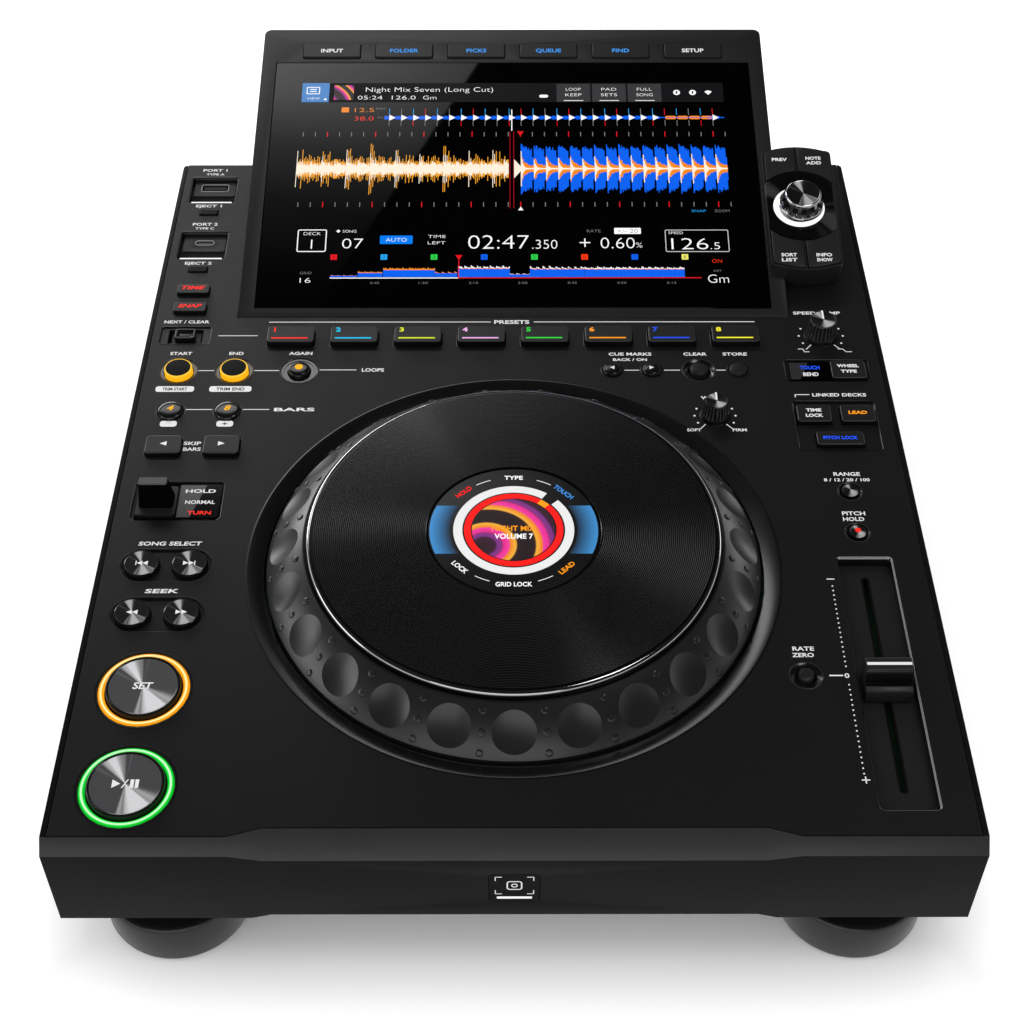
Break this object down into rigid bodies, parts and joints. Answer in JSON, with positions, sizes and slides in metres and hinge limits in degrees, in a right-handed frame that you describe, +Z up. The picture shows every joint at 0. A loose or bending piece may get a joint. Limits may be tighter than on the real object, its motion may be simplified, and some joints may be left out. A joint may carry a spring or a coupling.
{
  "type": "tabletop disc jockey media player",
  "caption": "Tabletop disc jockey media player with a tilted touch screen, a large jog wheel, transport and hot cue keys, a direction lever and a tempo fader",
  "frame": {"origin": "on the table, under the middle of the outline seen from above", "axes": "+X to the right of the player's user, +Y away from the user, +Z up"},
  "size_m": [0.329, 0.46, 0.1179],
  "materials": {
    "deck": "fine texture, near black",
    "case": "satin, dark grey",
    "tray": "powder coat, black",
    "board": "green solder mask",
    "foot": "satin, black",
    "display": "semi gloss, black",
    "screen": "polished, black behind the glass",
    "hub": "gloss, black",
    "jog_grip": "satin, black",
    "jog_plate": "grooved, black, bright bevel",
    "key": "satin, black",
    "transport": "spun",
    "search": "spun, dark",
    "knob": "satin, black",
    "selector": "spun, bright"
  },
  "bodies": {
    "chassis": {"deck_panel": "deck", "case_shell": "case", "base_tray": "tray", "main_board": "board", "foot_front_left": "foot", "foot_front_right": "foot", "foot_rear_left": "foot", "foot_rear_right": "foot", "jog_hub": "hub", "display_housing": "display", "touch_screen": "screen"},
    "hot_cue_key_a": {"hot_cue_key_a": "key"},
    "hot_cue_key_b": {"hot_cue_key_b": "key"},
    "hot_cue_key_c": {"hot_cue_key_c": "key"},
    "hot_cue_key_d": {"hot_cue_key_d": "key"},
    "hot_cue_key_e": {"hot_cue_key_e": "key"},
    "hot_cue_key_f": {"hot_cue_key_f": "key"},
    "hot_cue_key_g": {"hot_cue_key_g": "key"},
    "hot_cue_key_h": {"hot_cue_key_h": "key"},
    "source_key_rear": {"source_key_rear": "key"},
    "source_key_front": {"source_key_front": "key"},
    "beat_jump_back_key": {"beat_jump_back_key": "key"},
    "beat_jump_forward_key": {"beat_jump_forward_key": "key"},
    "jog_mode_key": {"jog_mode_key": "key"},
    "beat_sync_key": {"beat_sync_key": "key"},
    "sync_master_key": {"sync_master_key": "key"},
    "key_sync_key": {"key_sync_key": "key"},
    "loop_in_button": {"loop_in_button": "key"},
    "loop_out_button": {"loop_out_button": "key"},
    "loop_exit_button": {"loop_exit_button": "key"},
    "beat_loop_short_button": {"beat_loop_short_button": "key"},
    "beat_loop_long_button": {"beat_loop_long_button": "key"},
    "call_back_button": {"call_back_button": "key"},
    "call_forward_button": {"call_forward_button": "key"},
    "delete_button": {"delete_button": "key"},
    "memory_button": {"memory_button": "key"},
    "tempo_range_button": {"tempo_range_button": "key"},
    "master_tempo_button": {"master_tempo_button": "key"},
    "tempo_reset_button": {"tempo_reset_button": "key"},
    "track_back_button": {"track_back_button": "search"},
    "track_forward_button": {"track_forward_button": "search"},
    "search_back_button": {"search_back_button": "search"},
    "search_forward_button": {"search_forward_button": "search"},
    "cue_button": {"cue_button": "transport"},
    "play_button": {"play_button": "transport"},
    "usb_stop_keys": {"usb_stop_keys": "key"},
    "menu_key_bar": {"menu_key_bar": "key"},
    "pod_key_rear_left": {"pod_key_rear_left": "key"},
    "pod_key_rear_right": {"pod_key_rear_right": "key"},
    "pod_key_front_left": {"pod_key_front_left": "key"},
    "pod_key_front_right": {"pod_key_front_right": "key"},
    "selector_shaft": {"selector_shaft": "selector"},
    "selector_knob": {"selector_knob": "selector"},
    "speed_adjust_knob": {"speed_adjust_knob": "knob"},
    "jog_adjust_knob": {"jog_adjust_knob": "knob"},
    "call_delete_toggle": {"call_delete_toggle": "key"},
    "direction_lever": {"direction_lever": "key"},
    "tempo_fader_cap": {"tempo_fader_cap": "key"},
    "jog_ring": {"jog_ring": "jog_grip"},
    "jog_platter": {"jog_platter": "jog_plate"}
  },
  "joints": [
    {"name": "hot_cue_key_a_press", "type": "slide", "parent": "chassis", "child": "hot_cue_key_a", "axis": [0, 0, 1], "range_m": [-0.0008, 0], "stiffness_N_per_m": 400, "springref_m": 0.001},
    {"name": "hot_cue_key_b_press", "type": "slide", "parent": "chassis", "child": "hot_cue_key_b", "axis": [0, 0, 1], "range_m": [-0.0008, 0], "stiffness_N_per_m": 400, "springref_m": 0.001},
    {"name": "hot_cue_key_c_press", "type": "slide", "parent": "chassis", "child": "hot_cue_key_c", "axis": [0, 0, 1], "range_m": [-0.0008, 0], "stiffness_N_per_m": 400, "springref_m": 0.001},
    {"name": "hot_cue_key_d_press", "type": "slide", "parent": "chassis", "child": "hot_cue_key_d", "axis": [0, 0, 1], "range_m": [-0.0008, 0], "stiffness_N_per_m": 400, "springref_m": 0.001},
    {"name": "hot_cue_key_e_press", "type": "slide", "parent": "chassis", "child": "hot_cue_key_e", "axis": [0, 0, 1], "range_m": [-0.0008, 0], "stiffness_N_per_m": 400, "springref_m": 0.001},
    {"name": "hot_cue_key_f_press", "type": "slide", "parent": "chassis", "child": "hot_cue_key_f", "axis": [0, 0, 1], "range_m": [-0.0008, 0], "stiffness_N_per_m": 400, "springref_m": 0.001},
    {"name": "hot_cue_key_g_press", "type": "slide", "parent": "chassis", "child": "hot_cue_key_g", "axis": [0, 0, 1], "range_m": [-0.0008, 0], "stiffness_N_per_m": 400, "springref_m": 0.001},
    {"name": "hot_cue_key_h_press", "type": "slide", "parent": "chassis", "child": "hot_cue_key_h", "axis": [0, 0, 1], "range_m": [-0.0008, 0], "stiffness_N_per_m": 400, "springref_m": 0.001},
    {"name": "source_key_rear_press", "type": "slide", "parent": "chassis", "child": "source_key_rear", "axis": [0, 0, 1], "range_m": [-0.0008, 0], "stiffness_N_per_m": 400, "springref_m": 0.001},
    {"name": "source_key_front_press", "type": "slide", "parent": "chassis", "child": "source_key_front", "axis": [0, 0, 1], "range_m": [-0.0008, 0], "stiffness_N_per_m": 400, "springref_m": 0.001},
    {"name": "beat_jump_back_key_press", "type": "slide", "parent": "chassis", "child": "beat_jump_back_key", "axis": [0, 0, 1], "range_m": [-0.0008, 0], "stiffness_N_per_m": 400, "springref_m": 0.001},
    {"name": "beat_jump_forward_key_press", "type": "slide", "parent": "chassis", "child": "beat_jump_forward_key", "axis": [0, 0, 1], "range_m": [-0.0008, 0], "stiffness_N_per_m": 400, "springref_m": 0.001},
    {"name": "jog_mode_key_press", "type": "slide", "parent": "chassis", "child": "jog_mode_key", "axis": [0, 0, 1], "range_m": [-0.0008, 0], "stiffness_N_per_m": 400, "springref_m": 0.001},
    {"name": "beat_sync_key_press", "type": "slide", "parent": "chassis", "child": "beat_sync_key", "axis": [0, 0, 1], "range_m": [-0.0008, 0], "stiffness_N_per_m": 400, "springref_m": 0.001},
    {"name": "sync_master_key_press", "type": "slide", "parent": "chassis", "child": "sync_master_key", "axis": [0, 0, 1], "range_m": [-0.0008, 0], "stiffness_N_per_m": 400, "springref_m": 0.001},
    {"name": "key_sync_key_press", "type": "slide", "parent": "chassis", "child": "key_sync_key", "axis": [0, 0, 1], "range_m": [-0.0008, 0], "stiffness_N_per_m": 400, "springref_m": 0.001},
    {"name": "loop_in_button_press", "type": "slide", "parent": "chassis", "child": "loop_in_button", "axis": [0, 0, 1], "range_m": [-0.0008, 0], "stiffness_N_per_m": 400, "springref_m": 0.001},
    {"name": "loop_out_button_press", "type": "slide", "parent": "chassis", "child": "loop_out_button", "axis": [0, 0, 1], "range_m": [-0.0008, 0], "stiffness_N_per_m": 400, "springref_m": 0.001},
    {"name": "loop_exit_button_press", "type": "slide", "parent": "chassis", "child": "loop_exit_button", "axis": [0, 0, 1], "range_m": [-0.0008, 0], "stiffness_N_per_m": 400, "springref_m": 0.001},
    {"name": "beat_loop_short_button_press", "type": "slide", "parent": "chassis", "child": "beat_loop_short_button", "axis": [0, 0, 1], "range_m": [-0.0008, 0], "stiffness_N_per_m": 400, "springref_m": 0.001},
    {"name": "beat_loop_long_button_press", "type": "slide", "parent": "chassis", "child": "beat_loop_long_button", "axis": [0, 0, 1], "range_m": [-0.0008, 0], "stiffness_N_per_m": 400, "springref_m": 0.001},
    {"name": "call_back_button_press", "type": "slide", "parent": "chassis", "child": "call_back_button", "axis": [0, 0, 1], "range_m": [-0.0008, 0], "stiffness_N_per_m": 400, "springref_m": 0.001},
    {"name": "call_forward_button_press", "type": "slide", "parent": "chassis", "child": "call_forward_button", "axis": [0, 0, 1], "range_m": [-0.0008, 0], "stiffness_N_per_m": 400, "springref_m": 0.001},
    {"name": "delete_button_press", "type": "slide", "parent": "chassis", "child": "delete_button", "axis": [0, 0, 1], "range_m": [-0.0008, 0], "stiffness_N_per_m": 400, "springref_m": 0.001},
    {"name": "memory_button_press", "type": "slide", "parent": "chassis", "child": "memory_button", "axis": [0, 0, 1], "range_m": [-0.0008, 0], "stiffness_N_per_m": 400, "springref_m": 0.001},
    {"name": "tempo_range_button_press", "type": "slide", "parent": "chassis", "child": "tempo_range_button", "axis": [0, 0, 1], "range_m": [-0.0008, 0], "stiffness_N_per_m": 400, "springref_m": 0.001},
    {"name": "master_tempo_button_press", "type": "slide", "parent": "chassis", "child": "master_tempo_button", "axis": [0, 0, 1], "range_m": [-0.0008, 0], "stiffness_N_per_m": 400, "springref_m": 0.001},
    {"name": "tempo_reset_button_press", "type": "slide", "parent": "chassis", "child": "tempo_reset_button", "axis": [0, 0, 1], "range_m": [-0.0008, 0], "stiffness_N_per_m": 400, "springref_m": 0.001},
    {"name": "track_back_button_press", "type": "slide", "parent": "chassis", "child": "track_back_button", "axis": [0, 0, 1], "range_m": [-0.0008, 0], "stiffness_N_per_m": 400, "springref_m": 0.001},
    {"name": "track_forward_button_press", "type": "slide", "parent": "chassis", "child": "track_forward_button", "axis": [0, 0, 1], "range_m": [-0.0008, 0], "stiffness_N_per_m": 400, "springref_m": 0.001},
    {"name": "search_back_button_press", "type": "slide", "parent": "chassis", "child": "search_back_button", "axis": [0, 0, 1], "range_m": [-0.0008, 0], "stiffness_N_per_m": 400, "springref_m": 0.001},
    {"name": "search_forward_button_press", "type": "slide", "parent": "chassis", "child": "search_forward_button", "axis": [0, 0, 1], "range_m": [-0.0008, 0], "stiffness_N_per_m": 400, "springref_m": 0.001},
    {"name": "cue_button_press", "type": "slide", "parent": "chassis", "child": "cue_button", "axis": [0, 0, 1], "range_m": [-0.0008, 0], "stiffness_N_per_m": 400, "springref_m": 0.001},
    {"name": "play_button_press", "type": "slide", "parent": "chassis", "child": "play_button", "axis": [0, 0, 1], "range_m": [-0.0008, 0], "stiffness_N_per_m": 400, "springref_m": 0.001},
    {"name": "usb_stop_keys_press", "type": "slide", "parent": "chassis", "child": "usb_stop_keys", "axis": [0, 0, 1], "range_m": [-0.0008, 0], "stiffness_N_per_m": 400, "springref_m": 0.001},
    {"name": "menu_key_bar_press", "type": "slide", "parent": "chassis", "child": "menu_key_bar", "axis": [0, -0.225, 0.9744], "range_m": [-0.0008, 0], "stiffness_N_per_m": 400, "springref_m": 0.001},
    {"name": "pod_key_rear_left_press", "type": "slide", "parent": "chassis", "child": "pod_key_rear_left", "axis": [0, -0.225, 0.9744], "range_m": [-0.0008, 0], "stiffness_N_per_m": 400, "springref_m": 0.001},
    {"name": "pod_key_rear_right_press", "type": "slide", "parent": "chassis", "child": "pod_key_rear_right", "axis": [0, -0.225, 0.9744], "range_m": [-0.0008, 0], "stiffness_N_per_m": 400, "springref_m": 0.001},
    {"name": "pod_key_front_left_press", "type": "slide", "parent": "chassis", "child": "pod_key_front_left", "axis": [0, -0.225, 0.9744], "range_m": [-0.0008, 0], "stiffness_N_per_m": 400, "springref_m": 0.001},
    {"name": "pod_key_front_right_press", "type": "slide", "parent": "chassis", "child": "pod_key_front_right", "axis": [0, -0.225, 0.9744], "range_m": [-0.0008, 0], "stiffness_N_per_m": 400, "springref_m": 0.001},
    {"name": "selector_shaft_press", "type": "slide", "parent": "chassis", "child": "selector_shaft", "axis": [0, -0.225, 0.9744], "range_m": [-0.0008, 0], "stiffness_N_per_m": 400, "springref_m": 0.001},
    {"name": "selector_turn", "type": "hinge", "parent": "selector_shaft", "child": "selector_knob", "pos_m": [0.1349, 0.10888, 0.09825], "axis": [0, -0.225, 0.9744], "continuous": true},
    {"name": "speed_adjust_knob_turn", "type": "hinge", "parent": "chassis", "child": "speed_adjust_knob", "pos_m": [0.1384, 0.03963, 0.0773], "axis": [0, 0, 1], "range_deg": [-140, 140]},
    {"name": "jog_adjust_knob_turn", "type": "hinge", "parent": "chassis", "child": "jog_adjust_knob", "pos_m": [0.0866, -0.01267, 0.0773], "axis": [0, 0, 1], "range_deg": [-140, 140]},
    {"name": "call_delete_toggle_slide", "type": "slide", "parent": "chassis", "child": "call_delete_toggle", "axis": [1, 0, 0], "range_m": [-0.003, 0.003], "stiffness_N_per_m": 150},
    {"name": "direction_lever_tilt", "type": "hinge", "parent": "chassis", "child": "direction_lever", "pos_m": [-0.1459, -0.06327, 0.069], "axis": [1, 0, 0], "range_deg": [-8, 8]},
    {"name": "tempo_fader_slide", "type": "slide", "parent": "chassis", "child": "tempo_fader_cap", "axis": [0, 1, 0], "range_m": [-0.047, 0.047]},
    {"name": "jog_turn", "type": "hinge", "parent": "chassis", "child": "jog_ring", "pos_m": [0, -0.09527, 0.077], "axis": [0, 0, 1], "continuous": true},
    {"name": "jog_platter_press", "type": "slide", "parent": "jog_ring", "child": "jog_platter", "axis": [0, 0, 1], "range_m": [-0.0005, 0], "stiffness_N_per_m": 5000, "springref_m": 0.0006}
  ]
}
